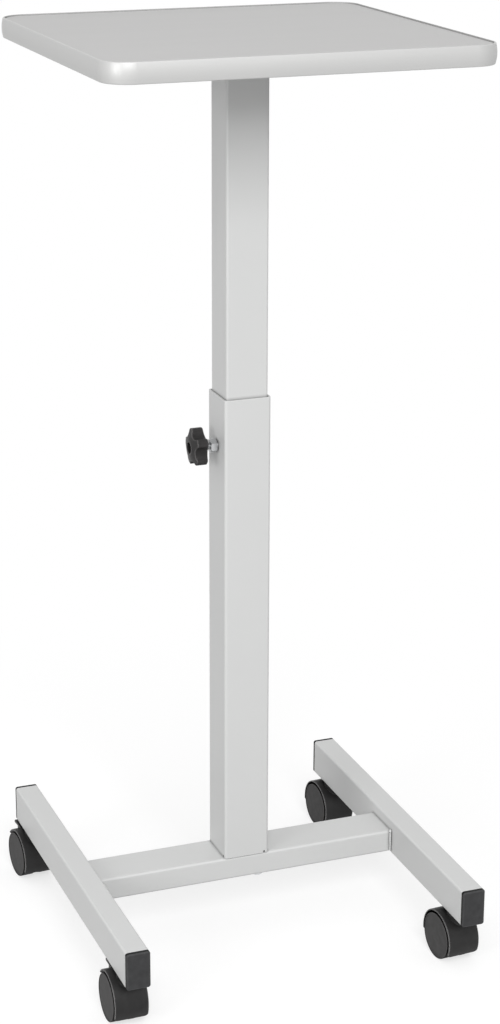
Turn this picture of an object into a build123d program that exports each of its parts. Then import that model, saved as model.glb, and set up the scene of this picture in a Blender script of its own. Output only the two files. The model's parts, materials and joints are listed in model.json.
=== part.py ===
"""Portable projector stand: a board with an edge band on a telescopic square column,
an H-shaped foot of two runners and a cross bar, and four hooded twin-wheel casters.
Millimetres, +Z up, floor at Z = 0, column axis on Z, front of the stand towards -Y."""
from build123d import *
from math import cos, hypot, radians, sin, sqrt, tan
import os

os.makedirs("parts", exist_ok=True)

# Casters
WHEEL_DIAMETER = 50.0
WHEEL_SPAN = 37.2            # across the outer faces of a pair of wheels
WHEEL_GAP = 7.4              # between the inner faces of a pair
WHEEL_RIM = 3.0
WHEEL_DISC = 2.4
WHEEL_EDGE = 1.0             # rounding of the tread
WHEEL_HUB_RADIUS = 6.5
WHEEL_RIBS = 6
WHEEL_RIB_THICKNESS = 1.6
WHEEL_FACE_RIM = 1.4         # width of the raised ring round the outer face
WHEEL_FACE_STEP = 0.3
CUT_OVERRUN = 1.0            # a cutter past the face it opens
AXLE_RADIUS = 3.0
AXLE_FIT = 0.05              # running fit of a wheel on its axle
AXLE_END_GAP = 0.5
HOOD_GAP = 2.4               # wheel tread to inside of hood
HOOD_WALL = 1.3
HOOD_WIDTH = 35.6
HOOD_REAR_ANGLE = -13.0      # measured from level, behind the axle
HOOD_BRAKED_ANGLE = 34.0     # the same on a hood with a brake lever
HOOD_FRONT_ANGLE = 210.0     # the closed side reaches down in front
HOOD_WEB_GAP = 0.5           # web to wheel
HOOD_EYE_RADIUS = 8.0
BOSS_RADIUS = 10.5
HOOD_EDGE = 0.6              # rounding of the rims of the fender
HOOD_CORNER = 4.0            # rounding of the corners at the fender's ends
TRAIL = 11.0                 # axle behind the swivel axis
CROWN_GAP = 0.5              # hood crown to socket flange
BOSS_GAP = 0.4               # boss to socket flange
STEM_RADIUS = 4.0
STEM_FIT = 0.05
STEM_LENGTH = 26.0
STEM_TIP = 1.0
SPIGOT_RADIUS = 2.0
SPIGOT_LENGTH = 16.0
PRESS_GAP = 0.02
FLANGE_RADIUS = 10.5
FLANGE_THICKNESS = 1.8
SOCKET_RADIUS = 7.0
SOCKET_END = 2.0
SOCKET_FIT = 0.05
CASTER_INSET = 31.5          # swivel axes from the ends of the runners
CASTER_SIDE = 1.5            # swivel axes to the left of the middle of the runners

# Brake levers on the two left casters
LEVER_WIDTH = 20.0
LEVER_GAP = 0.5
LEVER_THICKNESS = 2.6
LEVER_TAIL = 26.0            # tail end behind the axle
LEVER_RISE = 1.1
LEVER_KNUCKLE = 1.3
LEVER_PIVOT = 2.0            # pivot behind the axle
LEVER_PIN_RADIUS = 0.8
LEVER_PIN_LENGTH = 2.0
LEVER_PIN_FIT = 0.05
SHOE_END = 16.0              # heel of the shoe behind the axle
SHOE_SLOPE = 11.3            # the shoe lies on the treads when the lever is pressed
WINDOW_ANGLE = 45.0          # hood cut away for the lever behind this angle

# Foot frame
RUNNER_WIDTH = 25.0
RUNNER_HEIGHT = 40.0
RUNNER_WALL = 1.5
RUNNER_LENGTH = 400.0
RUNNER_SPACING = 366.0
CORNER_INSIDE = 1.0          # inside corner radius of every tube
BAR_DEPTH = 50.0
BAR_HEIGHT = 25.0
BAR_WALL = 1.5
BAR_RAISE = 2.0              # bar above the underside of the runners
BAR_OFFSET = 3.0             # bar and column behind the middle of the runners
CAP_THICKNESS = 4.6
CAP_EDGE = 1.0
CAP_PLUG = 16.0
CAP_WALL = 2.0
CAP_FIT = 0.1

# Column
OUTER_SIDE = 50.0
OUTER_WALL = 2.0
OUTER_LENGTH = 512.0
SLIDE_GAP = 0.5
INNER_WALL = 1.5
INNER_LENGTH = 500.0
NOTCH_WIDTH = 2.4
NOTCH_HEIGHT = 2.6
NOTCH_INSET = 5.0            # notch middle from the tube's corner
FOOT_PLATE = 6.0
FOOT_FIT = 0.2
BOLT_RADIUS = 4.0
BOLT_FIT = 0.2
BOLT_X = 16.0
BOLT_Y = 14.0
BOLT_HEAD_RADIUS = 7.0
BOLT_HEAD_HEIGHT = 4.4
BOLT_HEAD_ROUND = 2.6

# Clamp
CLAMP_DROP = 53.0            # screw axis below the top of the outer tube
SCREW_RADIUS = 4.0
SCREW_FIT = 0.05
SCREW_TIP_RADIUS = 2.8
SCREW_TIP = 3.0
SCREW_SEAT = 0.2             # tip to inner tube
NUT_NECK_RADIUS = 5.2
NUT_NECK = 1.6               # welded neck that holds the nut off the column
NUT_FLATS = 13.0
NUT_HEIGHT = 8.0
NUT_CHAMFER = 0.7
KNOB_STANDOFF = 4.4          # knob hub to nut
KNOB_RADIUS = 20.0
KNOB_LOBES = 5
KNOB_PHASE = 10.0
KNOB_FLUTE_RADIUS = 9.0
KNOB_FLUTE_CENTRE = 22.6
KNOB_LOBE_ROUND = 2.4
KNOB_HUB_RADIUS = 6.0
KNOB_HUB = 1.2
KNOB_CORE_RADIUS = 9.0       # edges inside this radius stay sharp
KNOB_BACK_CONE = 1.6
KNOB_GRIP = 11.5
KNOB_FRONT_CONE = 3.2
KNOB_RING_RADIUS = 8.0
KNOB_RECESS_RADIUS = 6.0
KNOB_RECESS = 3.0
KNOB_EDGE = 0.9              # rounding of the lobes' edges

# Top
TOP_WIDTH = 390.0
TOP_DEPTH = 373.0
TOP_CORNER = 28.0
TOP_HEIGHT = 961.0           # crown of the edge band above the floor
BAND_WALL = 3.0
BAND_HEIGHT = 20.0
BAND_BULGE = 1.4             # middle of the band's face beyond its edges
BAND_ROUND = 1.2
BAND_LIP = 1.2               # band above the board
BAND_GLUE = 0.05
BOARD_THICKNESS = 18.0
BOARD_EDGE = 1.2
PLATE_SIDE = 160.0
PLATE_THICKNESS = 4.0
PLATE_CORNER = 8.0

# Heights and sizes that follow from the values above
WHEEL_RADIUS = WHEEL_DIAMETER / 2
HOOD_INSIDE = WHEEL_RADIUS + HOOD_GAP
HOOD_RADIUS = HOOD_INSIDE + HOOD_WALL
HOOD_CROWN = WHEEL_RADIUS + HOOD_RADIUS
FLANGE_BOTTOM = HOOD_CROWN + CROWN_GAP
RUNNER_BOTTOM = FLANGE_BOTTOM + FLANGE_THICKNESS
BOSS_TOP = FLANGE_BOTTOM - BOSS_GAP
WEB_THICKNESS = WHEEL_GAP - 2 * HOOD_WEB_GAP
CASTER_REACH = RUNNER_LENGTH / 2 - CASTER_INSET
BAR_BOTTOM = RUNNER_BOTTOM + BAR_RAISE
BAR_TOP = BAR_BOTTOM + BAR_HEIGHT
BAR_LENGTH = RUNNER_SPACING - RUNNER_WIDTH
OUTER_TOP = BAR_TOP + OUTER_LENGTH
INNER_SIDE = OUTER_SIDE - 2 * OUTER_WALL - 2 * SLIDE_GAP
CLAMP_HEIGHT = OUTER_TOP - CLAMP_DROP
BOARD_TOP = TOP_HEIGHT - BAND_LIP
BOARD_BOTTOM = BOARD_TOP - BOARD_THICKNESS
INNER_TOP = BOARD_BOTTOM - PLATE_THICKNESS

CORNERS = {                  # side, end and degrees that the caster is turned at rest
    "front_left": (-1, -1, 0.0),
    "front_right": (1, -1, 4.0),
    "back_left": (-1, 1, 4.5),
    "back_right": (1, 1, 4.0),
}
BRAKED = ("front_left", "back_left")
UPRIGHT = (Align.CENTER, Align.CENTER, Align.MIN)


def tube_section(width, depth, wall):
    """Section of a welded tube with its rounded corners."""
    outside = RectangleRounded(width, depth, wall + CORNER_INSIDE)
    return outside - RectangleRounded(width - 2 * wall, depth - 2 * wall, CORNER_INSIDE)


def across(radius, start, end):
    """Cylinder along X between two stations."""
    return Pos(start, 0, 0) * extrude(Plane.YZ * Circle(radius), end - start)


def polar(radius, angle):
    """Point of the caster's side view, measured from the axle."""
    return radius * cos(radians(angle)), radius * sin(radians(angle))


def sector(radius, start, end):
    """Side-view face between the axle and an arc of the hood."""
    middle = (start + end) / 2
    rim = ThreePointArc(polar(radius, start), polar(radius, middle), polar(radius, end))
    return make_face(rim + Line(polar(radius, end), (0, 0)) + Line((0, 0), polar(radius, start)))


def runner():
    """Floor tube of the foot, with a hole in its underside for each caster socket."""
    section = tube_section(RUNNER_WIDTH, RUNNER_HEIGHT, RUNNER_WALL)
    tube = extrude(Plane.XZ * section, RUNNER_LENGTH / 2, both=True)
    hole = Cylinder(SOCKET_RADIUS + SOCKET_FIT, 4 * RUNNER_WALL)
    for reach in (-CASTER_REACH, CASTER_REACH):
        tube -= Pos(-CASTER_SIDE, reach, -RUNNER_HEIGHT / 2) * hole
    return Pos(0, 0, RUNNER_BOTTOM + RUNNER_HEIGHT / 2) * tube


def cross_bar():
    """Flat tube between the runners, drilled for the two column bolts."""
    bar = extrude(Plane.YZ * tube_section(BAR_DEPTH, BAR_HEIGHT, BAR_WALL), BAR_LENGTH / 2, both=True)
    for side in (-1, 1):
        bar -= Pos(side * BOLT_X, -side * BOLT_Y, 0) * Cylinder(BOLT_RADIUS + BOLT_FIT, 2 * BAR_HEIGHT)
    return Pos(0, 0, BAR_BOTTOM + BAR_HEIGHT / 2) * bar


def end_cap():
    """Push-in cap of a runner: a head as large as the tube, and a hollow plug. Faces +Y from Y = 0."""
    corner = RUNNER_WALL + CORNER_INSIDE
    head = extrude(Plane.XZ * RectangleRounded(RUNNER_WIDTH, RUNNER_HEIGHT, corner), -CAP_THICKNESS)
    head = chamfer(head.faces().sort_by(Axis.Y)[-1].edges(), CAP_EDGE)
    inset = RUNNER_WALL + CAP_FIT
    width = RUNNER_WIDTH - 2 * inset
    height = RUNNER_HEIGHT - 2 * inset
    plug = RectangleRounded(width, height, CORNER_INSIDE)
    plug -= Rectangle(width - 2 * CAP_WALL, height - 2 * CAP_WALL)
    return head + extrude(Plane.XZ * plug, CAP_PLUG)


def outer_column():
    """Lower tube of the column, notched at the foot and drilled for the clamp screw."""
    tube = extrude(tube_section(OUTER_SIDE, OUTER_SIDE, OUTER_WALL), OUTER_LENGTH)
    notch = Box(NOTCH_WIDTH, 4 * OUTER_WALL, 2 * NOTCH_HEIGHT)
    for turn in range(4):
        tube -= Rot(0, 0, 90 * turn) * Pos(OUTER_SIDE / 2 - NOTCH_INSET, -OUTER_SIDE / 2, 0) * notch
    tube -= Pos(0, 0, OUTER_LENGTH - CLAMP_DROP) * across(SCREW_RADIUS + BOLT_FIT, -OUTER_SIDE, 0)
    return Pos(0, 0, BAR_TOP) * tube


def foot_plate():
    """Plate welded inside the foot of the column, which the bolts are screwed into."""
    side = OUTER_SIDE - 2 * OUTER_WALL - 2 * FOOT_FIT
    plate = extrude(RectangleRounded(side, side, CORNER_INSIDE), FOOT_PLATE)
    for turn in (-1, 1):
        plate -= Pos(turn * BOLT_X, -turn * BOLT_Y, 0) * Cylinder(BOLT_RADIUS + PRESS_GAP, 4 * FOOT_PLATE)
    return Pos(0, 0, BAR_TOP) * plate


def column_bolt():
    """Round-headed bolt from below through the bar into the foot plate."""
    head = extrude(Circle(BOLT_HEAD_RADIUS), -BOLT_HEAD_HEIGHT)
    head = fillet(head.faces().sort_by(Axis.Z)[0].edges(), BOLT_HEAD_ROUND)
    return Pos(0, 0, BAR_BOTTOM) * (head + extrude(Circle(BOLT_RADIUS), BAR_HEIGHT + FOOT_PLATE))


def clamp_place():
    """Frame of the clamp: Z outwards along the screw, Z = 0 on the column's left face."""
    return Pos(-OUTER_SIDE / 2, 0, CLAMP_HEIGHT) * Rot(0, -90, 0)


def clamp_nut():
    """Hexagon nut with a neck that is welded on the column."""
    height = NUT_HEIGHT - NUT_NECK
    body = extrude(RegularPolygon(NUT_FLATS / 2, 6, major_radius=False), height)
    limit = Cylinder(NUT_FLATS / sqrt(3), height, align=UPRIGHT)
    body &= chamfer(limit.faces().sort_by(Axis.Z)[-1].edges(), NUT_CHAMFER)
    nut = Pos(0, 0, NUT_NECK) * body + extrude(Circle(NUT_NECK_RADIUS), NUT_NECK)
    return nut - Cylinder(SCREW_RADIUS + SCREW_FIT, 4 * NUT_HEIGHT)


def clamp_knob():
    """Five-lobed hand knob: a turned blank with coned faces, cut to the lobed outline."""
    star = Circle(KNOB_RADIUS)
    for lobe in range(KNOB_LOBES):
        angle = 360 / KNOB_LOBES * (lobe + 0.5)
        star -= Rot(0, 0, angle) * Pos(KNOB_FLUTE_CENTRE, 0) * Circle(KNOB_FLUTE_RADIUS)
    star = fillet(star.vertices(), KNOB_LOBE_ROUND)
    back = KNOB_HUB + KNOB_BACK_CONE
    front = back + KNOB_GRIP
    crown = front + KNOB_FRONT_CONE
    outline = Polyline(
        (0, 0),
        (KNOB_HUB_RADIUS, 0),
        (KNOB_HUB_RADIUS, KNOB_HUB),
        (KNOB_RADIUS, back),
        (KNOB_RADIUS, front),
        (KNOB_RING_RADIUS, crown),
        (0, crown),
        close=True,
    )
    blank = revolve(Plane.XZ * make_face(outline), Axis.Z)
    knob = blank & extrude(star, crown)
    rims = knob.edges().filter_by(lambda edge: hypot((edge @ 0.5).X, (edge @ 0.5).Y) > KNOB_CORE_RADIUS)
    knob = fillet(rims, KNOB_EDGE)
    knob -= Pos(0, 0, crown) * Cylinder(KNOB_RECESS_RADIUS, 2 * KNOB_RECESS)
    knob -= Cylinder(SCREW_RADIUS + PRESS_GAP, 2 * (back + KNOB_GRIP / 2))
    return Rot(0, 0, KNOB_PHASE) * knob


def clamp_screw():
    """Clamp screw with a turned tip, from inside the knob to the inner tube."""
    tip = SCREW_SEAT - OUTER_WALL - SLIDE_GAP
    head = NUT_HEIGHT + KNOB_STANDOFF + KNOB_HUB + KNOB_BACK_CONE + KNOB_GRIP / 2 - PRESS_GAP
    shank = Pos(0, 0, tip + SCREW_TIP) * extrude(Circle(SCREW_RADIUS), head - tip - SCREW_TIP)
    return shank + Pos(0, 0, tip) * extrude(Circle(SCREW_TIP_RADIUS), SCREW_TIP)


def inner_column():
    """Upper tube of the column, up to the plate under the top."""
    tube = extrude(tube_section(INNER_SIDE, INNER_SIDE, INNER_WALL), INNER_LENGTH)
    return Pos(0, 0, INNER_TOP - INNER_LENGTH) * tube


def top_plate():
    """Steel plate welded on the inner tube, screwed to the board."""
    outline = RectangleRounded(PLATE_SIDE, PLATE_SIDE, PLATE_CORNER)
    return Pos(0, 0, INNER_TOP) * extrude(outline, PLATE_THICKNESS)


def top_board():
    """Laminated board inside the edge band."""
    inset = BAND_WALL + BAND_GLUE
    outline = RectangleRounded(TOP_WIDTH - 2 * inset, TOP_DEPTH - 2 * inset, TOP_CORNER - inset)
    board = extrude(outline, BOARD_THICKNESS)
    return Pos(0, 0, BOARD_BOTTOM) * chamfer(board.faces().sort_by(Axis.Z)[-1].edges(), BOARD_EDGE)


def band_section():
    """Section of the edge band, measured from the axis of a corner: flat inside, bulged outside, soft edges."""
    inside = TOP_CORNER - BAND_WALL
    shoulder = TOP_CORNER - BAND_BULGE
    half = BAND_HEIGHT / 2
    face = ThreePointArc((shoulder, -half), (TOP_CORNER, 0), (shoulder, half))
    back = Polyline((shoulder, half), (inside, half), (inside, -half), (shoulder, -half))
    section = make_face(face + back)
    return Plane.XZ * fillet(section.vertices().sort_by(Axis.X)[-2:], BAND_ROUND)


def edge_band():
    """Soft-edged plastic band round the board, a little proud of its face."""
    section = band_section()
    across_half = TOP_WIDTH / 2 - TOP_CORNER
    deep_half = TOP_DEPTH / 2 - TOP_CORNER
    corner = revolve(section, Axis.Z, 90)
    side = Pos(across_half, 0, 0) * extrude(section, deep_half, both=True)
    front = Rot(0, 0, 90) * Pos(deep_half, 0, 0) * extrude(section, across_half, both=True)
    half = side + front
    half += Pos(across_half, deep_half, 0) * corner
    half += Pos(-across_half, deep_half, 0) * Rot(0, 0, 90) * corner
    return Pos(0, 0, TOP_HEIGHT - BAND_HEIGHT / 2) * (half + Rot(0, 0, 180) * half)


def wheel():
    """Right-hand wheel of a pair: closed outside, ribbed inside, axle along X through the origin."""
    inner = WHEEL_GAP / 2
    outer = WHEEL_SPAN / 2
    body = across(WHEEL_RADIUS, inner, outer)
    body = fillet(body.edges().filter_by(GeomType.CIRCLE), WHEEL_EDGE)
    face_radius = WHEEL_RADIUS - WHEEL_FACE_RIM
    body -= across(face_radius, outer - WHEEL_FACE_STEP, outer + WHEEL_FACE_STEP)
    disc = outer - WHEEL_FACE_STEP - WHEEL_DISC
    body -= across(WHEEL_RADIUS - WHEEL_RIM, inner - CUT_OVERRUN, disc)
    body += across(WHEEL_HUB_RADIUS, inner, disc)
    span = WHEEL_RADIUS - WHEEL_RIM
    rib = Pos((inner + disc) / 2, span / 2, 0) * Box(disc - inner - WHEEL_RIM, span, WHEEL_RIB_THICKNESS)
    for turn in range(WHEEL_RIBS):
        body += Rot(360 / WHEEL_RIBS * turn, 0, 0) * rib
    return body - across(AXLE_RADIUS + AXLE_FIT, inner - CUT_OVERRUN, disc - AXLE_END_GAP)


def axle():
    """Steel axle through the web of the hood into both wheels."""
    end = WHEEL_SPAN / 2 - WHEEL_FACE_STEP - WHEEL_DISC - 2 * AXLE_END_GAP
    return across(AXLE_RADIUS, -end, end)


def brake_pivot():
    """Place of the brake lever's pivot in the side view of the hood, from the axle."""
    return LEVER_PIVOT, HOOD_RADIUS - LEVER_KNUCKLE


def hood(braked):
    """Moulded hood of a caster: fender, web between the wheels and swivel boss, axle along X."""
    span = (HOOD_BRAKED_ANGLE if braked else HOOD_REAR_ANGLE, HOOD_FRONT_ANGLE)
    shell = sector(HOOD_RADIUS, *span) - Circle(HOOD_INSIDE)
    body = extrude(Plane.YZ * shell, HOOD_WIDTH / 2, both=True)
    ends = body.edges().filter_by(GeomType.LINE).filter_by(lambda e: e.length < 2 * HOOD_WALL)
    body = fillet(ends, HOOD_CORNER)
    rims = body.edges().filter_by(GeomType.CIRCLE).filter_by(lambda e: e.radius > HOOD_INSIDE)
    body = fillet(rims, HOOD_EDGE)
    web = sector(HOOD_RADIUS, *span) + Circle(HOOD_EYE_RADIUS)
    body += extrude(Plane.YZ * web, WEB_THICKNESS / 2, both=True)
    boss_top = BOSS_TOP - WHEEL_RADIUS
    boss = Pos(0, -TRAIL, 0) * extrude(Circle(BOSS_RADIUS), boss_top)
    for side in (-1, 1):
        start = side * WEB_THICKNESS / 2
        boss -= across(HOOD_INSIDE, min(start, side * HOOD_WIDTH), max(start, side * HOOD_WIDTH))
    body += boss
    body -= Pos(0, -TRAIL, boss_top) * Cylinder(SPIGOT_RADIUS + PRESS_GAP, 2 * SPIGOT_LENGTH)
    body -= across(AXLE_RADIUS + PRESS_GAP, -HOOD_WIDTH, HOOD_WIDTH)
    if braked:
        pivot = brake_pivot()
        slot = LEVER_WIDTH + 2 * LEVER_GAP
        front = LEVER_KNUCKLE + LEVER_GAP
        floor = HOOD_INSIDE * sin(radians(WINDOW_ANGLE))
        window = Box(slot, front + HOOD_RADIUS, HOOD_RADIUS, align=(Align.CENTER, Align.MIN, Align.MIN))
        body -= Pos(0, pivot[0] - front, floor) * window
        pin = LEVER_WIDTH / 2 + LEVER_PIN_LENGTH + LEVER_GAP
        body -= Pos(0, *pivot) * across(LEVER_PIN_RADIUS + LEVER_PIN_FIT, -pin, pin)
    return body


def stem():
    """Swivel pin: a stem that turns in the socket, a shoulder on the boss and a spigot in the web."""
    base = BOSS_TOP
    pin = extrude(Circle(STEM_RADIUS), STEM_LENGTH + RUNNER_BOTTOM - base)
    pin = chamfer(pin.faces().sort_by(Axis.Z)[-1].edges(), STEM_TIP)
    return Pos(0, 0, base) * (pin + extrude(Circle(SPIGOT_RADIUS), -SPIGOT_LENGTH + PRESS_GAP))


def socket():
    """Plastic socket in the runner, with a flange under it."""
    flange = extrude(Circle(FLANGE_RADIUS), -FLANGE_THICKNESS)
    sleeve = extrude(Circle(SOCKET_RADIUS), STEM_LENGTH + SOCKET_END)
    depth = STEM_LENGTH + STEM_FIT
    bore = Pos(0, 0, -FLANGE_THICKNESS) * extrude(Circle(STEM_RADIUS + STEM_FIT), depth + FLANGE_THICKNESS)
    return Pos(0, 0, RUNNER_BOTTOM) * (flange + sleeve - bore)


def brake_lever():
    """Foot lever over both wheels: knuckle, tongue and a sloping shoe, in axle coordinates."""
    pivot_y, pivot_z = brake_pivot()
    top = pivot_z + LEVER_KNUCKLE
    tail_top = top + LEVER_RISE
    under = pivot_z - LEVER_KNUCKLE
    heel = under - (SHOE_END - pivot_y) * tan(radians(SHOE_SLOPE))
    tail_under = tail_top - LEVER_THICKNESS
    outline = Polyline(
        (pivot_y, top),
        (LEVER_TAIL, tail_top),
        (LEVER_TAIL, tail_under),
        (SHOE_END, tail_under),
        (SHOE_END, heel),
        (pivot_y, under),
        close=True,
    )
    side = make_face(outline) + Pos(pivot_y, pivot_z) * Circle(LEVER_KNUCKLE)
    lever = extrude(Plane.YZ * side, LEVER_WIDTH / 2, both=True)
    reach = LEVER_WIDTH / 2 + LEVER_PIN_LENGTH
    return lever + Pos(0, pivot_y, pivot_z) * across(LEVER_PIN_RADIUS, -reach, reach)


def save(shape, name):
    """Writes one piece under its own name."""
    shape.label = name
    export_step(shape, f"parts/{name}.step")


def save_foot_frame():
    """Runners, bar and column foot."""
    for name, side in (("left_runner", -1), ("right_runner", 1)):
        save(Pos(side * RUNNER_SPACING / 2, -BAR_OFFSET, 0) * runner(), name)
    save(cross_bar(), "cross_bar")
    save(outer_column(), "outer_column")
    save(foot_plate(), "foot_plate")
    bolts = [Pos(side * BOLT_X, -side * BOLT_Y, 0) * column_bolt() for side in (-1, 1)]
    save(Compound(children=bolts), "column_bolts")


def save_clamp():
    """Nut, screw and knob on the left face of the column."""
    place = clamp_place()
    save(place * clamp_nut(), "clamp_nut")
    save(place * clamp_screw(), "clamp_screw")
    save(place * Pos(0, 0, NUT_HEIGHT + KNOB_STANDOFF) * clamp_knob(), "clamp_knob")


def save_top():
    """Inner tube and the top that it carries."""
    save(inner_column(), "inner_column")
    save(top_plate(), "top_plate")
    save(top_board(), "top_board")
    save(edge_band(), "edge_band")


def save_corner(name, side, end, turn):
    """End cap, socket and caster at one end of a runner."""
    x = side * RUNNER_SPACING / 2
    facing = Rot(0, 0, 0 if end > 0 else 180)
    cap_place = Pos(x, end * RUNNER_LENGTH / 2 - BAR_OFFSET, RUNNER_BOTTOM + RUNNER_HEIGHT / 2)
    save(cap_place * facing * end_cap(), f"{name}_cap")
    swivel = Pos(x - CASTER_SIDE, end * CASTER_REACH - BAR_OFFSET, 0)
    save(swivel * socket(), f"{name}_socket")
    save(swivel * stem(), f"{name}_stem")
    turning = swivel * Rot(0, 0, turn) * Pos(0, TRAIL, WHEEL_RADIUS)
    save(turning * hood(name in BRAKED), f"{name}_hood")
    save(turning * axle(), f"{name}_axle")
    save(turning * wheel(), f"{name}_wheel_right")
    save(turning * Rot(0, 0, 180) * wheel(), f"{name}_wheel_left")
    if name in BRAKED:
        save(turning * brake_lever(), f"{name}_brake")


save_foot_frame()
save_clamp()
save_top()
for corner, (side_sign, end_sign, rest_turn) in CORNERS.items():
    save_corner(corner, side_sign, end_sign, rest_turn)
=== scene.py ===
"""Looks of a wheeled projector stand: finishes, welds, threads and screws, light and camera."""

import json
import math

import bpy
from bpy.props import FloatProperty, FloatVectorProperty, PointerProperty
from mathutils import Matrix, Vector


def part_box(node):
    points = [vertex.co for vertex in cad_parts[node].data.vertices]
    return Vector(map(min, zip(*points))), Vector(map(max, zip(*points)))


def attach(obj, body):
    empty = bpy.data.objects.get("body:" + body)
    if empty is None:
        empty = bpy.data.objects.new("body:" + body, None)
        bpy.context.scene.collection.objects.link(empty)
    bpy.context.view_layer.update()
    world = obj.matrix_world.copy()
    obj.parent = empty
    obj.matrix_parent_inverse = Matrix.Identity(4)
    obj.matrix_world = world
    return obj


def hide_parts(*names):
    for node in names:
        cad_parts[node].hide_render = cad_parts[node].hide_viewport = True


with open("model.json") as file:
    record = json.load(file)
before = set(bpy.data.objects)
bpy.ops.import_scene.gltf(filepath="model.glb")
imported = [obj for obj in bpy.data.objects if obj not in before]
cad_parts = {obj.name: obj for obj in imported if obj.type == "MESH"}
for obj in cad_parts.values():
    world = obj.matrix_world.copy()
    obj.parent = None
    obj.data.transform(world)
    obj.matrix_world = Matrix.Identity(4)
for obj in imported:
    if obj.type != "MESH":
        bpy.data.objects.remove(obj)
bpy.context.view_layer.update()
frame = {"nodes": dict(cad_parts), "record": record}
NODES = frame["nodes"]
MM = 0.001
WHITE = (1.0, 1.0, 1.0, 1.0)

# Pieces of the scene: faces that meet at a larger angle keep a sharp edge
SHARP_ANGLE = math.radians(35)

# Face colours: how far a normal's share along the axis may be from the one that is asked for
NORMAL_SPREAD = 0.5

# Edge mask of the painted highlight: cosine between the rounded and the plain normal where it starts and
# where it is full
EDGE_START = 0.995
EDGE_FULL = 0.9

# Painted seam shade and edge highlight: power that keeps the painted highlight out of the seams, and rays
# for each mask
OPEN_POWER = 4.0
SEAM_SAMPLES = 8
EDGE_SAMPLES = 4

# Weld beads: shares of the bead's radius
BEAD_HEIGHT = 0.75
BEAD_END = 0.35
BEAD_SEAT = 0.45
BEAD_LUMP = 1.2
RIPPLE_DEPTH = 0.16
WANDER = 0.12

# Weld beads: power of a ripple's curve, radians of wander along a bead and by its length, and counts
RIPPLE_POWER = 0.6
WANDER_SWING = 7.3
WANDER_START = 2.1
BEAD_SIDES = 10
RIPPLE_STEPS = 6
LEAST_STEPS = 8

# Clamp screw: slope and crest of the thread, shares of its radius at the tip, and counts
THREAD_SLOPE = 1.6
THREAD_CREST = 0.3
TIP_SHARE = 0.7
TIP_END_SHARE = 0.6
THREAD_SIDES = 40
PITCH_STEPS = 8

# Screw heads: shares of a recess's width and of the head's radius or height, and counts
RECESS_TAPER = 0.92
BOLT_SIDE = 0.25
BOLT_ROUNDING = 0.42
BOLT_SOCKET_DEPTH = 0.6
SCREW_NECK = 0.5
SCREW_ROUNDING = 0.4
CROSS_REACH = 0.48
CROSS_WIDTH = 0.11
HEAD_SIDES = 48
BOLT_DOME_STEPS = 6
SCREW_DOME_STEPS = 5

# Cross recess: least sine or cosine that a length is divided by
LEAST_SINE = 1e-6

# Camera: width of its frame in mm, and the end of its sight in m
FRAME_WIDTH = 36.0
SIGHT = 200.0

bl_info = {
    "name": "Projector Stand Looks",
    "version": (1, 0, 0),
    "blender": (4, 5, 0),
    "location": "3D View > Sidebar > Stand",
    "description": "Finishes, small hardware, light and camera for a wheeled projector stand",
    "category": "3D View",
}


def colour(name, description, default):
    """Property for a colour."""
    return FloatVectorProperty(name=name, description=description, subtype="COLOR", size=3,
                               min=0.0, max=1.0, default=default)


def length(name, description, default):
    """Property for a size."""
    return FloatProperty(name=name, description=description, unit="LENGTH", min=0.0, default=default)


def point(name, description, default):
    """Property for a point in the stand's frame."""
    return FloatVectorProperty(name=name, description=description, size=3, subtype="XYZ",
                               unit="LENGTH", default=default)


def rotation(name, description, default):
    """Property for an angle of the camera."""
    return FloatProperty(name=name, description=description, unit="ROTATION", default=default)


def lamp_power(name, description, default):
    """Property for the power of a lamp."""
    return FloatProperty(name=name, description=description, unit="POWER", min=0.0, default=default)


def strength(name, description, default):
    """Property for a plain strength of light."""
    return FloatProperty(name=name, description=description, min=0.0, default=default)


class StandFinishes(bpy.types.PropertyGroup):
    """Colours of the stand's finishes."""
    paint: colour("Paint", "Powder coat of the tubes and plates", (0.62, 0.624, 0.62))
    laminate: colour("Laminate", "Matt face of the top board", (0.492, 0.489, 0.486))
    backing: colour("Backing", "Backing sheet under the top board", (0.12, 0.115, 0.11))
    edge: colour("Edge band", "Silver plastic round the top board", (0.55, 0.55, 0.545))
    cap: colour("Cap", "Grained faces of the runners' caps", (0.048, 0.048, 0.0495))
    # Rim: near-black painted shade on the rim faces of the caps
    rim: colour("Rim", "Smooth rims of the runners' caps", (0.004, 0.004, 0.004))
    hood: colour("Hood", "Hoods, brake levers and sockets of the casters", (0.022, 0.0216, 0.0216))
    wheel: colour("Wheel", "Wheels of the casters", (0.072, 0.0705, 0.0705))
    # Tread: near-black painted shade on the wheels' running faces
    tread_shade: colour("Tread", "Running face of the wheels", (0.004, 0.004, 0.004))
    knob: colour("Knob", "Hand knob of the clamp", (0.030, 0.0288, 0.0288))
    zinc: colour("Zinc", "Zinc plating of the weld nut, screws, stems and axles", (0.68, 0.69, 0.70))


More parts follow.
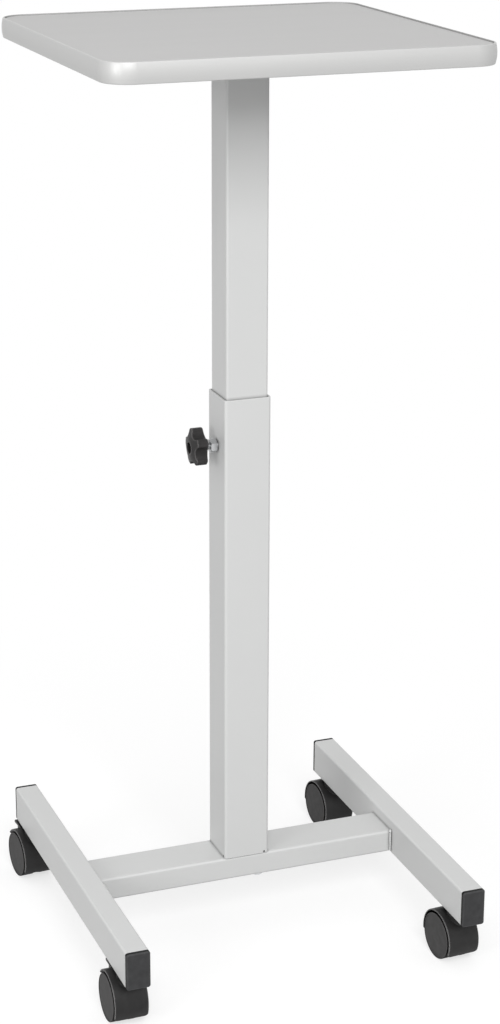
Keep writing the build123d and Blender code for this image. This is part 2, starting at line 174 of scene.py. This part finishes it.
class StandHardware(bpy.types.PropertyGroup):
    """Sizes of the welds, threads and screws."""
    weld_radius: length("Weld radius", "Half the width of a weld bead", 1.9 * MM)
    weld_ripple: length("Weld ripple", "Distance from one ripple of a weld to the next", 2.4 * MM)
    weld_corner: length("Weld corner", "Ends of a bead in from the cross bar's corners", 1.2 * MM)
    thread_pitch: length("Thread pitch", "Pitch of the clamp screw", 1.25 * MM)
    thread_depth: length("Thread depth", "Depth of the clamp screw's thread", 0.62 * MM)
    thread_tip: length("Thread tip", "Length of the clamp screw's turned tip", 3.0 * MM)
    tip_chamfer: length("Tip chamfer", "Chamfer at the end of the turned tip", 0.4 * MM)
    bolt_head: length("Bolt head", "Head radius of the column bolts", 7.0 * MM)
    bolt_shank: length("Bolt shank", "Shank radius of the column bolts", 4.0 * MM)
    bolt_socket: length("Bolt socket", "Half the key size of the column bolts", 2.5 * MM)
    screw_inset: length("Screw inset", "Plate screws in from the edge of the plate", 14.0 * MM)
    screw_radius: length("Screw radius", "Head radius of a plate screw", 4.2 * MM)
    screw_sink: length("Screw sink", "Depth of a plate screw's neck in the plate", 0.5 * MM)
    screw_side: length("Screw side", "Straight side of a plate screw's head", 0.8 * MM)
    screw_dome: length("Screw dome", "Rounded part of a plate screw's head", 1.7 * MM)
    screw_recess: length("Screw recess", "Depth of a plate screw's cross recess", 1.5 * MM)


class StandStage(bpy.types.PropertyGroup):
    """Camera, floor and lamps."""
    camera_place: point("Camera place", "Camera in the stand's frame", (-0.80931, -2.15014, 1.24594))
    camera_yaw: rotation("Camera yaw", "Heading to the right of straight ahead", 0.364811)
    camera_pitch: rotation("Camera pitch", "Tilt below the horizon", 0.326998)
    camera_roll: rotation("Camera roll", "Turn about the line of sight", 0.003717)
    camera_lens: FloatProperty(name="Camera lens", description="Focal length on a 36 mm frame",
                               unit="CAMERA", default=82.25)
    floor_size: length("Floor size", "Side of the floor", 60.0)
    floor_tint: colour("Floor tint", "Floor where it takes the stand's shadow", (0.38, 0.38, 0.38))
    floor_lift: strength("Floor lift", "Glow that brings the lit floor up to white", 0.66)
    shadow_radius: length("Shadow radius", "Floor shows its shadow in full this far out", 0.35)
    white_radius: length("White radius", "Floor is plain white from here on", 0.9)
    ambient: strength("Ambient", "Light from all round", 0.6)
    key_place: point("Key place", "Large lamp in front", (-0.9, -4.0, 3.3))
    key_aim: point("Key aim", "Point that the lamp in front faces", (0.0, 0.0, 0.5))
    key_size: length("Key size", "Side of the lamp in front", 2.4)
    key_power: lamp_power("Key power", "Power of the lamp in front", 146.0)
    left_place: point("Left place", "Smaller lamp on the left", (-2.6, -1.7, 1.25))
    left_aim: point("Left aim", "Point that the lamp on the left faces", (0.0, 0.0, 0.6))
    left_size: length("Left size", "Side of the lamp on the left", 1.2)
    left_power: lamp_power("Left power", "Power of the lamp on the left", 25.0)


def finishes(context):
    """Colours that the user set."""
    return context.scene.stand_finishes


def hardware(context):
    """Sizes of the small parts that the user set."""
    return context.scene.stand_hardware


def calculate(tree, operation, *values):
    """Output of a math node that works on numbers and on other nodes' outputs."""
    node = tree.nodes.new("ShaderNodeMath")
    node.operation = operation
    for socket, value in zip(node.inputs, values):
        if isinstance(value, float):
            socket.default_value = value
        else:
            tree.links.new(value, socket)
    return node.outputs["Value"]


def new_group(name, inputs, outputs):
    """Node group with inputs of label, kind and default, outputs of label and kind, and its end nodes."""
    group = bpy.data.node_groups.new(name, "ShaderNodeTree")
    for label, kind, default in inputs:
        socket = group.interface.new_socket(label, in_out="INPUT", socket_type="NodeSocket" + kind)
        socket.default_value = default
    for label, kind in outputs:
        group.interface.new_socket(label, in_out="OUTPUT", socket_type="NodeSocket" + kind)
    return group, group.nodes.new("NodeGroupInput"), group.nodes.new("NodeGroupOutput")


def place_group(nodes, name, group):
    """Node of a material that holds a group."""
    node = nodes.new("ShaderNodeGroup")
    node.name = name
    node.node_tree = group
    return node


def texture_group():
    """Node group with the fine texture and the broad mottling that every finish uses at its own scale."""
    name = "Surface Texture"
    if name in bpy.data.node_groups:
        return bpy.data.node_groups[name]
    group, given, made = new_group(
        name,
        (("Fine Scale", "Float", 900.0), ("Broad Scale", "Float", 14.0),
         ("Stretch", "Vector", (1.0, 1.0, 1.0))),
        (("Height", "Float"), ("Mottle", "Float")),
    )
    nodes, links = group.nodes, group.links
    place = nodes.new("ShaderNodeTexCoord")
    drawn = nodes.new("ShaderNodeVectorMath")
    drawn.operation = "MULTIPLY"
    links.new(place.outputs["Object"], drawn.inputs[0])
    links.new(given.outputs["Stretch"], drawn.inputs[1])
    fine = nodes.new("ShaderNodeTexNoise")
    fine.inputs["Detail"].default_value = 2.0
    fine.inputs["Roughness"].default_value = 0.6
    links.new(drawn.outputs["Vector"], fine.inputs["Vector"])
    links.new(given.outputs["Fine Scale"], fine.inputs["Scale"])
    broad = nodes.new("ShaderNodeTexNoise")
    broad.inputs["Detail"].default_value = 3.0
    links.new(drawn.outputs["Vector"], broad.inputs["Vector"])
    links.new(given.outputs["Broad Scale"], broad.inputs["Scale"])
    links.new(fine.outputs["Fac"], made.inputs["Height"])
    links.new(broad.outputs["Fac"], made.inputs["Mottle"])
    return group


def seam_group():
    """Node group with a mask of painted shade, lower in seams, narrow gaps and inside corners."""
    name = "Seam Shade"
    if name in bpy.data.node_groups:
        return bpy.data.node_groups[name]
    group, given, made = new_group(
        name,
        (("Reach", "Float", 3.0 * MM), ("Depth", "Float", 0.5)),
        (("Shade", "Float"),),
    )
    # Ambient occlusion that becomes painted shade in the colour
    around = group.nodes.new("ShaderNodeAmbientOcclusion")
    around.samples = SEAM_SAMPLES
    group.links.new(given.outputs["Reach"], around.inputs["Distance"])
    closed = calculate(group, "SUBTRACT", 1.0, around.outputs["AO"])
    lost = calculate(group, "MULTIPLY", closed, given.outputs["Depth"])
    kept = calculate(group, "SUBTRACT", 1.0, lost)
    group.links.new(kept, made.inputs["Shade"])
    return group


def edge_highlight_group():
    """Node group with a mask of the edges, where a painted highlight lightens the mouldings."""
    name = "Edge Mask"
    if name in bpy.data.node_groups:
        return bpy.data.node_groups[name]
    group, given, made = new_group(name, (("Reach", "Float", 1.6 * MM),), (("Edge", "Float"),))
    nodes, links = group.nodes, group.links
    rounded = nodes.new("ShaderNodeBevel")
    rounded.samples = EDGE_SAMPLES
    links.new(given.outputs["Reach"], rounded.inputs["Radius"])
    surface = nodes.new("ShaderNodeNewGeometry")
    same = nodes.new("ShaderNodeVectorMath")
    same.operation = "DOT_PRODUCT"
    links.new(rounded.outputs["Normal"], same.inputs[0])
    links.new(surface.outputs["Normal"], same.inputs[1])
    turned = nodes.new("ShaderNodeMapRange")
    turned.inputs["From Min"].default_value = EDGE_START
    turned.inputs["From Max"].default_value = EDGE_FULL
    links.new(same.outputs["Value"], turned.inputs["Value"])
    links.new(turned.outputs["Result"], made.inputs["Edge"])
    return group


def tone_group():
    """Node group that mottles a colour by a mask, paints a highlight on its edges in the open and paints
    shade into its seams.
    """
    name = "Tone Shift"
    if name in bpy.data.node_groups:
        return bpy.data.node_groups[name]
    group, given, made = new_group(
        name,
        (("Colour", "Color", WHITE), ("Mask", "Float", 0.0), ("Amount", "Float", 0.05),
         ("Shade", "Float", 1.0), ("Edge", "Float", 0.0), ("Edge Highlight Gain", "Float", 0.0)),
        (("Colour", "Color"),),
    )
    centred = calculate(group, "SUBTRACT", given.outputs["Mask"], 0.5)
    mottled = calculate(group, "MULTIPLY_ADD", centred, given.outputs["Amount"], 1.0)
    shaded = calculate(group, "MULTIPLY", mottled, given.outputs["Shade"])
    # Painted highlight on the edges, kept out of the painted seam shade
    in_the_open = calculate(group, "POWER", given.outputs["Shade"], OPEN_POWER)
    open_edge_highlight = calculate(group, "MULTIPLY", given.outputs["Edge"], in_the_open)
    highlight_gain = calculate(group, "MULTIPLY_ADD", open_edge_highlight, given.outputs["Edge Highlight Gain"], 1.0)
    total = calculate(group, "MULTIPLY", shaded, highlight_gain)
    scaled = group.nodes.new("ShaderNodeVectorMath")
    scaled.operation = "SCALE"
    group.links.new(given.outputs["Colour"], scaled.inputs[0])
    group.links.new(total, scaled.inputs["Scale"])
    group.links.new(scaled.outputs["Vector"], made.inputs["Colour"])
    return group


def finish_material(name, tint, roughness, fine_scale, bump, broad_scale=14.0, tone=0.06,
                    rough_spread=0.08, stretch=(1.0, 1.0, 1.0), metallic=0.0, specular=0.5,
                    reach=3.0 * MM, seam_shade=0.5, edge=0.0):
    """Material of one finish. Its colour and roughness vary with the mottling, painted shade darkens its
    seams within a reach, a painted highlight lightens its edges, and the fine texture gives its bump."""
    material = bpy.data.materials.new(name)
    material.use_nodes = True
    nodes, links = material.node_tree.nodes, material.node_tree.links
    shader = nodes["Principled BSDF"]
    shader.inputs["Metallic"].default_value = metallic
    shader.inputs["Specular IOR Level"].default_value = specular
    texture = place_group(nodes, "Texture", texture_group())
    texture.inputs["Fine Scale"].default_value = fine_scale
    texture.inputs["Broad Scale"].default_value = broad_scale
    texture.inputs["Stretch"].default_value = stretch
    seams = place_group(nodes, "Seams", seam_group())
    seams.inputs["Reach"].default_value = reach
    seams.inputs["Depth"].default_value = seam_shade
    edge_highlights = place_group(nodes, "Edges", edge_highlight_group())
    shift = place_group(nodes, "Tone", tone_group())
    shift.inputs["Colour"].default_value = (*tint, 1.0)
    shift.inputs["Amount"].default_value = tone
    shift.inputs["Edge Highlight Gain"].default_value = edge
    links.new(texture.outputs["Mottle"], shift.inputs["Mask"])
    links.new(seams.outputs["Shade"], shift.inputs["Shade"])
    links.new(edge_highlights.outputs["Edge"], shift.inputs["Edge"])
    links.new(shift.outputs["Colour"], shader.inputs["Base Color"])
    rough = nodes.new("ShaderNodeMapRange")
    rough.inputs["To Min"].default_value = roughness - rough_spread
    rough.inputs["To Max"].default_value = roughness + rough_spread
    links.new(texture.outputs["Mottle"], rough.inputs["Value"])
    links.new(rough.outputs["Result"], shader.inputs["Roughness"])
    relief = nodes.new("ShaderNodeBump")
    relief.inputs["Strength"].default_value = 1.0
    relief.inputs["Distance"].default_value = bump
    links.new(texture.outputs["Height"], relief.inputs["Height"])
    links.new(relief.outputs["Normal"], shader.inputs["Normal"])
    return material


def face_colour(material, tint, axis, share):
    """Gives another colour to the faces whose normal has about this share along an axis."""
    tree = material.node_tree
    place = tree.nodes.new("ShaderNodeTexCoord")
    parts = tree.nodes.new("ShaderNodeSeparateXYZ")
    tree.links.new(place.outputs["Normal"], parts.inputs["Vector"])
    chosen = calculate(tree, "COMPARE", parts.outputs[axis], share, NORMAL_SPREAD)
    taken = tree.nodes["Tone"].inputs["Colour"]
    mixed = tree.nodes.new("ShaderNodeMix")
    mixed.data_type = "RGBA"
    tree.links.new(chosen, mixed.inputs["Factor"])
    mixed.inputs["A"].default_value = taken.default_value
    mixed.inputs["B"].default_value = (*tint, 1.0)
    tree.links.new(mixed.outputs["Result"], taken)


def paint_material(context):
    """Powder coat, made once, with painted shade in its seams and a faint painted highlight on its edges.
    """
    name = "Powder coat"
    if name in bpy.data.materials:
        return bpy.data.materials[name]
    return finish_material(name, finishes(context).paint, roughness=0.42, fine_scale=850.0, bump=0.05 * MM,
                           tone=0.04, reach=3.5 * MM, seam_shade=0.85, edge=0.15)


def zinc_material(context):
    """Zinc plating, made once."""
    name = "Zinc plating"
    if name in bpy.data.materials:
        return bpy.data.materials[name]
    return finish_material(name, finishes(context).zinc, roughness=0.34, fine_scale=1600.0, bump=0.02 * MM,
                           broad_scale=60.0, tone=0.25, rough_spread=0.1, metallic=1.0)


def laminate_material(tints):
    """Matt laminate with a fine grain along the board, and a dark backing sheet underneath."""
    laminate = finish_material("Laminate", tints.laminate, roughness=0.5, fine_scale=420.0, bump=0.03 * MM,
                               broad_scale=30.0, tone=0.05, stretch=(0.06, 1.0, 1.0))
    face_colour(laminate, tints.backing, "Z", -1.0)
    return laminate


def edge_band_material(tints):
    """Silver plastic with a fine grain along the band."""
    return finish_material("Edge band", tints.edge, roughness=0.45, fine_scale=500.0, bump=0.03 * MM,
                           broad_scale=40.0, stretch=(0.08, 0.08, 1.0), metallic=0.35)


def moulded_plastic(name, tint, roughness, fine_scale, specular, reach, edge):
    """Dark plastic with a strong mottling, with painted shade in its seams and a painted highlight at its
    edges.
    """
    return finish_material(name, tint, roughness, fine_scale, bump=0.04 * MM, broad_scale=130.0, tone=0.7,
                           specular=specular, reach=reach, seam_shade=0.96, edge=edge)


def cap_material(tints):
    """Grained plastic whose rim faces are painted near black as shade."""
    plastic = moulded_plastic("Cap plastic", tints.cap, roughness=0.5, fine_scale=1400.0, specular=0.12,
                              reach=3.0 * MM, edge=0.6)
    # Rim faces painted near black: painted shade
    face_colour(plastic, tints.rim, "Y", 0.0)
    return plastic


def hood_material(tints):
    """Black plastic with a painted highlight along its edges and painted shade under the runners."""
    return moulded_plastic("Hood plastic", tints.hood, roughness=0.42, fine_scale=1500.0, specular=0.2,
                           reach=16.0 * MM, edge=10.0)


def wheel_material(tints):
    """Dark grey discs whose treads are painted near black as the shade in the gap under the hoods."""
    plastic = moulded_plastic("Wheel plastic", tints.wheel, roughness=0.55, fine_scale=1300.0,
                              specular=0.05, reach=8.0 * MM, edge=0.5)
    # Tread faces painted near black: painted shade
    face_colour(plastic, tints.tread_shade, "X", 0.0)
    return plastic


def knob_material(tints):
    """Matt black plastic whose lobes are lighter at their edges by a painted highlight."""
    return moulded_plastic("Knob plastic", tints.knob, roughness=0.4, fine_scale=1200.0, specular=0.1,
                           reach=8.0 * MM, edge=5.0)


def slot_nodes(slot):
    """CAD nodes that the record gives this finish."""
    return [NODES[part["node"]] for part in frame["record"]["subparts"] if part["material_slot"] == slot]


def paint_nodes(slot, material):
    """Gives one material to all CAD nodes of a slot."""
    for node in slot_nodes(slot):
        node.data.materials.clear()
        node.data.materials.append(material)


def add_piece(name, points, faces, material, body, slot, replaces=()):
    """New mesh piece that rides on a body and may stand for CAD nodes. Its slot argument is not used."""
    mesh = bpy.data.meshes.new(name)
    mesh.from_pydata([Vector(p) for p in points], [], faces)
    mesh.validate()
    mesh.update()
    mesh.materials.append(material)
    mesh.shade_smooth()
    mesh.set_sharp_from_angle(angle=SHARP_ANGLE)
    piece = bpy.data.objects.new(name, mesh)
    bpy.context.scene.collection.objects.link(piece)
    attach(piece, body)
    for node in replaces:
        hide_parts(node)


def turns(count):
    """Angles of equal steps round a circle."""
    return [2 * math.pi * k / count for k in range(count)]


def ring_skin(rings):
    """Points and faces of closed rings of equal count, one after the other, with both ends closed."""
    count = len(rings[0])
    points = [p for ring in rings for p in ring]
    faces = []
    for r in range(len(rings) - 1):
        for k in range(count):
            a, b = r * count + k, r * count + (k + 1) % count
            faces.append((a, b, b + count, a + count))
    faces.append(tuple(reversed(range(count))))
    last = (len(rings) - 1) * count
    faces.append(tuple(range(last, last + count)))
    return points, faces


def join(skins):
    """One set of points and faces from several."""
    points, faces = [], []
    for part_points, part_faces in skins:
        start = len(points)
        points += part_points
        faces += [tuple(i + start for i in face) for face in part_faces]
    return points, faces


def weld_bead(start, end, radius, ripple):
    """Skin of a straight weld bead whose ripples overlap like scales."""
    start, end = Vector(start), Vector(end)
    run = end - start
    along = run.normalized()
    side = along.orthogonal().normalized()
    other = along.cross(side)
    steps = max(LEAST_STEPS, int(run.length / ripple * RIPPLE_STEPS))
    rings = []
    for k in range(steps + 1):
        share = k / steps
        phase = (share * run.length / ripple) % 1.0
        swell = 1.0 - RIPPLE_DEPTH + RIPPLE_DEPTH * math.sin(math.pi * phase) ** RIPPLE_POWER
        taper = min(1.0, BEAD_END + min(share, 1.0 - share) * run.length / radius)
        wide = radius * swell * taper
        high = wide * BEAD_HEIGHT
        wander = WANDER * radius * math.sin(WANDER_SWING * share + WANDER_START * run.length / radius)
        middle = start + run * share + side * wander
        rings.append([middle + side * wide * math.cos(a) + other * high * math.sin(a)
                      for a in turns(BEAD_SIDES)])
    return ring_skin(rings)


def screw_ring(x, middle, radii):
    """Ring of points round the clamp screw's axis, with a radius for each."""
    angles = turns(len(radii))
    return [(x, middle.y + r * math.cos(a), middle.z + r * math.sin(a)) for a, r in zip(angles, radii)]


def hexagon_radius(angle, half_flats):
    """Distance from the middle of a hexagon to its side in one direction."""
    part = (angle + math.pi / 6) % (math.pi / 3) - math.pi / 6
    return half_flats / math.cos(part)


def cross_radius(angle, reach, half_width):
    """Distance from the middle of a cross recess to its outline in one direction."""
    cosine = max(LEAST_SINE, abs(math.cos(angle)))
    sine = max(LEAST_SINE, abs(math.sin(angle)))
    return max(min(reach / cosine, half_width / sine), min(reach / sine, half_width / cosine))


def dome(radius, rounding, side, height, steps):
    """Radius and drop along the rounded part of a screw head, from its straight side to its flat end."""
    profile = []
    for k in range(1, steps + 1):
        a = math.pi / 2 * k / steps
        profile.append((radius - rounding * radius * (1 - math.cos(a)), side + height * math.sin(a)))
    return profile


def recessed_head(middle, profile, recess, depth):
    """Skin of a screw head that points down: a turned profile of radius and drop, and a recess."""
    middle = Vector(middle)

    def ring(radius, drop):
        return [middle + Vector((radius(a) * math.cos(a), radius(a) * math.sin(a), -drop))
                for a in turns(HEAD_SIDES)]

    rings = [ring(lambda a, r=r: r, drop) for r, drop in profile]
    bottom = profile[-1][1]
    rings.append(ring(recess, bottom))
    rings.append(ring(lambda a: RECESS_TAPER * recess(a), bottom - depth))
    return ring_skin(rings)


class STAND_OT_paint_frame(bpy.types.Operator):
    """Powder coat on the tubes and plates"""
    bl_idname = "stand.paint_frame"
    bl_label = "Paint the frame"

    def execute(self, context):
        paint_nodes("frame_paint", paint_material(context))
        return {"FINISHED"}


class STAND_OT_finish_top(bpy.types.Operator):
    """Laminate on the board and silver plastic on its edge band"""
    bl_idname = "stand.finish_top"
    bl_label = "Finish the top"

    def execute(self, context):
        tints = finishes(context)
        paint_nodes("top_laminate", laminate_material(tints))
        paint_nodes("edge_plastic", edge_band_material(tints))
        return {"FINISHED"}


class STAND_OT_finish_plastics(bpy.types.Operator):
    """Moulded plastics of the caps, casters and knob"""
    bl_idname = "stand.finish_plastics"
    bl_label = "Finish the plastics"

    def execute(self, context):
        tints = finishes(context)
        paint_nodes("cap_plastic", cap_material(tints))
        paint_nodes("black_plastic", hood_material(tints))
        paint_nodes("wheel_plastic", wheel_material(tints))
        paint_nodes("knob_plastic", knob_material(tints))
        return {"FINISHED"}


class STAND_OT_finish_steel(bpy.types.Operator):
    """Zinc plating on the weld nut, stems and axles"""
    bl_idname = "stand.finish_steel"
    bl_label = "Plate the steel"

    def execute(self, context):
        paint_nodes("zinc_steel", zinc_material(context))
        return {"FINISHED"}


class STAND_OT_weld_beads(bpy.types.Operator):
    """Weld beads between the cross bar and the runners, and round the head of the inner tube"""
    bl_idname = "stand.weld_beads"
    bl_label = "Weld the joints"

    def execute(self, context):
        sizes = hardware(context)
        radius, ripple, corner = sizes.weld_radius, sizes.weld_ripple, sizes.weld_corner
        seat = BEAD_SEAT * radius
        low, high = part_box("cross_bar")
        beads = []
        for x, inward in ((low.x, 1.0), (high.x, -1.0)):
            x += inward * seat
            for y, outward in ((low.y, -1.0), (high.y, 1.0)):
                y += outward * seat
                beads.append(weld_bead((x, y, low.z + corner), (x, y, high.z - corner), radius, ripple))
            lump, along = Vector((x, low.y - seat, high.z)), Vector((radius, 0.0, 0.0))
            beads.append(weld_bead(lump - along, lump + along, BEAD_LUMP * radius, ripple))
        add_piece("weld_beads", *join(beads), paint_material(context), "base", "frame_paint")
        low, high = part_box("inner_column")
        z = high.z - seat
        corners = [(low.x, low.y, z), (high.x, low.y, z), (high.x, high.y, z), (low.x, high.y, z)]
        sides = zip(corners, corners[1:] + corners[:1])
        rim = [weld_bead(start, end, radius, ripple) for start, end in sides]
        add_piece("plate_weld", *join(rim), paint_material(context), "upper", "frame_paint")
        return {"FINISHED"}


class STAND_OT_clamp_thread(bpy.types.Operator):
    """Clamp screw with its thread and turned tip"""
    bl_idname = "stand.clamp_thread"
    bl_label = "Cut the clamp thread"

    def execute(self, context):
        sizes = hardware(context)
        pitch = sizes.thread_pitch
        low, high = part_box("clamp_screw")
        middle = (low + high) / 2
        outer = (high.z - low.z) / 2
        tip = high.x - sizes.thread_tip
        rings = []
        x = low.x
        while x < tip:
            radii = []
            for k in range(THREAD_SIDES):
                wave = abs(2 * ((x / pitch + k / THREAD_SIDES) % 1.0) - 1)
                cut = min(1.0, max(0.0, THREAD_SLOPE * wave - THREAD_CREST))
                radii.append(outer - sizes.thread_depth * cut)
            rings.append(screw_ring(x, middle, radii))
            x += pitch / PITCH_STEPS
        chamfer = high.x - sizes.tip_chamfer
        for x, share in ((tip, TIP_SHARE), (chamfer, TIP_SHARE), (high.x, TIP_END_SHARE)):
            rings.append(screw_ring(x, middle, [share * outer] * THREAD_SIDES))
        add_piece("clamp_thread", *ring_skin(rings), zinc_material(context), "knob", "zinc_steel",
                  ["clamp_screw"])
        return {"FINISHED"}


class STAND_OT_column_bolts(bpy.types.Operator):
    """Round-headed bolts under the cross bar, with their key sockets"""
    bl_idname = "stand.column_bolts"
    bl_label = "Turn the column bolts"

    def execute(self, context):
        sizes = hardware(context)
        head, shank = sizes.bolt_head, sizes.bolt_shank
        low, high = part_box("column_bolts")
        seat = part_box("cross_bar")[0].z
        drop = seat - low.z
        side = BOLT_SIDE * drop
        profile = [(shank, seat - high.z), (shank, 0.0), (head, 0.0), (head, side)]
        profile += dome(head, BOLT_ROUNDING, side, drop - side, BOLT_DOME_STEPS)

        def socket(angle):
            return hexagon_radius(angle, sizes.bolt_socket)

        skins = []
        for x, y in ((low.x + head, high.y - head), (high.x - head, low.y + head)):
            skins.append(recessed_head((x, y, seat), profile, socket, BOLT_SOCKET_DEPTH * drop))
        add_piece("column_bolt_heads", *join(skins), zinc_material(context), "base", "zinc_steel",
                  ["column_bolts"])
        return {"FINISHED"}


class STAND_OT_plate_screws(bpy.types.Operator):
    """Pan-headed screws that hold the plate to the board"""
    bl_idname = "stand.plate_screws"
    bl_label = "Screw on the plate"

    def execute(self, context):
        sizes = hardware(context)
        inset, head, side = sizes.screw_inset, sizes.screw_radius, sizes.screw_side
        low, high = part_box("top_plate")
        profile = [(SCREW_NECK * head, -sizes.screw_sink), (head, 0.0), (head, side)]
        profile += dome(head, SCREW_ROUNDING, side, sizes.screw_dome, SCREW_DOME_STEPS)

        def recess(angle):
            return cross_radius(angle, CROSS_REACH * head, CROSS_WIDTH * head)

        skins = []
        for x in (low.x + inset, high.x - inset):
            for y in (low.y + inset, high.y - inset):
                skins.append(recessed_head((x, y, low.z), profile, recess, sizes.screw_recess))
        add_piece("plate_screws", *join(skins), zinc_material(context), "upper", "zinc_steel")
        return {"FINISHED"}


def add_lamp(name, place, aim, size, power):
    """Square area lamp that faces a point."""
    lamp = bpy.data.lights.new(name, "AREA")
    lamp.shape = "SQUARE"
    lamp.size = size
    lamp.energy = power
    item = bpy.data.objects.new(name, lamp)
    item.location = place
    item.rotation_mode = "QUATERNION"
    item.rotation_quaternion = (Vector(aim) - Vector(place)).to_track_quat("-Z", "Y")
    bpy.context.scene.collection.objects.link(item)


def glow(nodes, amount):
    """Output of a white glow of this strength."""
    node = nodes.new("ShaderNodeEmission")
    node.inputs["Color"].default_value = WHITE
    node.inputs["Strength"].default_value = amount
    return node.outputs["Emission"]


def mix_shaders(tree, share, first, second):
    """Output of a mix that goes from the first shader to the second with the share."""
    node = tree.nodes.new("ShaderNodeMixShader")
    tree.links.new(share, node.inputs["Fac"])
    tree.links.new(first, node.inputs[1])
    tree.links.new(second, node.inputs[2])
    return node.outputs["Shader"]


def floor_material(sizes):
    """White floor that keeps the stand's shadow, and is plain white further out."""
    material = bpy.data.materials.new("Floor")
    material.use_nodes = True
    tree = material.node_tree
    nodes, links = tree.nodes, tree.links
    shader = nodes["Principled BSDF"]
    shader.inputs["Base Color"].default_value = (*sizes.floor_tint, 1.0)
    shader.inputs["Roughness"].default_value = 0.9
    shader.inputs["Specular IOR Level"].default_value = 0.1
    place = nodes.new("ShaderNodeTexCoord")
    away = nodes.new("ShaderNodeVectorMath")
    away.operation = "LENGTH"
    links.new(place.outputs["Object"], away.inputs[0])
    fade = nodes.new("ShaderNodeMapRange")
    fade.interpolation_type = "SMOOTHSTEP"
    fade.inputs["From Min"].default_value = sizes.shadow_radius
    fade.inputs["From Max"].default_value = sizes.white_radius
    links.new(away.outputs["Value"], fade.inputs["Value"])
    path = nodes.new("ShaderNodeLightPath")
    shown = calculate(tree, "MAXIMUM", path.outputs["Is Camera Ray"], path.outputs["Is Glossy Ray"])
    far = calculate(tree, "MULTIPLY", fade.outputs["Result"], shown)
    lift = mix_shaders(tree, shown, glow(nodes, 0.0), glow(nodes, sizes.floor_lift))
    near = nodes.new("ShaderNodeAddShader")
    links.new(shader.outputs["BSDF"], near.inputs[0])
    links.new(lift, near.inputs[1])
    surface = mix_shaders(tree, far, near.outputs["Shader"], glow(nodes, 1.0))
    links.new(surface, nodes["Material Output"].inputs["Surface"])
    return material


def light_world(ambient):
    """White background for the camera and reflections, and an even light for everything else."""
    world = bpy.data.worlds.new("Studio")
    bpy.context.scene.world = world
    world.use_nodes = True
    tree = world.node_tree
    nodes = tree.nodes
    even = nodes["Background"]
    even.inputs["Color"].default_value = WHITE
    even.inputs["Strength"].default_value = ambient
    white = nodes.new("ShaderNodeBackground")
    white.inputs["Color"].default_value = WHITE
    path = nodes.new("ShaderNodeLightPath")
    clear = calculate(tree, "MAXIMUM", path.outputs["Is Camera Ray"], path.outputs["Is Transmission Ray"])
    shown = calculate(tree, "MAXIMUM", clear, path.outputs["Is Glossy Ray"])
    mixed = mix_shaders(tree, shown, even.outputs["Background"], white.outputs["Background"])
    tree.links.new(mixed, nodes["World Output"].inputs["Surface"])


def add_camera(sizes):
    """Camera at the photograph's place and angle."""
    yaw, pitch, roll = sizes.camera_yaw, sizes.camera_pitch, sizes.camera_roll
    ahead = Vector((math.sin(yaw) * math.cos(pitch), math.cos(yaw) * math.cos(pitch), -math.sin(pitch)))
    level = Vector((math.cos(yaw), -math.sin(yaw), 0.0))
    upright = level.cross(ahead)
    right = level * math.cos(roll) + upright * math.sin(roll)
    up = upright * math.cos(roll) - level * math.sin(roll)
    data = bpy.data.cameras.new("Camera")
    data.sensor_width = FRAME_WIDTH
    data.lens = sizes.camera_lens
    data.clip_end = SIGHT
    camera = bpy.data.objects.new("Camera", data)
    turned = Matrix((right, up, -ahead)).transposed().to_4x4()
    camera.matrix_world = Matrix.Translation(sizes.camera_place) @ turned
    bpy.context.scene.collection.objects.link(camera)
    bpy.context.scene.camera = camera


class STAND_OT_stage(bpy.types.Operator):
    """Floor, soft lamps, white surroundings and the camera"""
    bl_idname = "stand.stage"
    bl_label = "Set the stage"

    def execute(self, context):
        sizes = context.scene.stand_stage
        context.scene.view_settings.view_transform = "Standard"
        half = sizes.floor_size / 2
        corners = [(-half, -half, 0), (half, -half, 0), (half, half, 0), (-half, half, 0)]
        mesh = bpy.data.meshes.new("floor")
        mesh.from_pydata(corners, [], [(0, 1, 2, 3)])
        mesh.materials.append(floor_material(sizes))
        floor = bpy.data.objects.new("floor", mesh)
        context.scene.collection.objects.link(floor)
        light_world(sizes.ambient)
        add_lamp("Key", sizes.key_place, sizes.key_aim, sizes.key_size, sizes.key_power)
        add_lamp("Left", sizes.left_place, sizes.left_aim, sizes.left_size, sizes.left_power)
        add_camera(sizes)
        return {"FINISHED"}


OPERATORS = (
    STAND_OT_paint_frame,
    STAND_OT_finish_top,
    STAND_OT_finish_plastics,
    STAND_OT_finish_steel,
    STAND_OT_weld_beads,
    STAND_OT_clamp_thread,
    STAND_OT_column_bolts,
    STAND_OT_plate_screws,
    STAND_OT_stage,
)


class STAND_PT_looks(bpy.types.Panel):
    """Lists the stand's finishes and small parts"""
    bl_idname = "STAND_PT_looks"
    bl_label = "Projector stand"
    bl_space_type = "VIEW_3D"
    bl_region_type = "UI"
    bl_category = "Stand"

    def draw(self, context):
        for operator in OPERATORS:
            self.layout.operator(operator.bl_idname)
        for group in (finishes(context), hardware(context), context.scene.stand_stage):
            box = self.layout.box()
            for name in group.__annotations__:
                box.prop(group, name)


CLASSES = (StandFinishes, StandHardware, StandStage, *OPERATORS, STAND_PT_looks)


def register():
    for item in CLASSES:
        bpy.utils.register_class(item)
    bpy.types.Scene.stand_finishes = PointerProperty(type=StandFinishes)
    bpy.types.Scene.stand_hardware = PointerProperty(type=StandHardware)
    bpy.types.Scene.stand_stage = PointerProperty(type=StandStage)


def unregister():
    del bpy.types.Scene.stand_stage
    del bpy.types.Scene.stand_hardware
    del bpy.types.Scene.stand_finishes
    for item in reversed(CLASSES):
        bpy.utils.unregister_class(item)


def main():
    register()
    bpy.ops.stand.paint_frame()
    bpy.ops.stand.finish_top()
    bpy.ops.stand.finish_plastics()
    bpy.ops.stand.finish_steel()
    bpy.ops.stand.weld_beads()
    bpy.ops.stand.clamp_thread()
    bpy.ops.stand.column_bolts()
    bpy.ops.stand.plate_screws()
    bpy.ops.stand.stage()


if __name__ == "__main__":
    main()
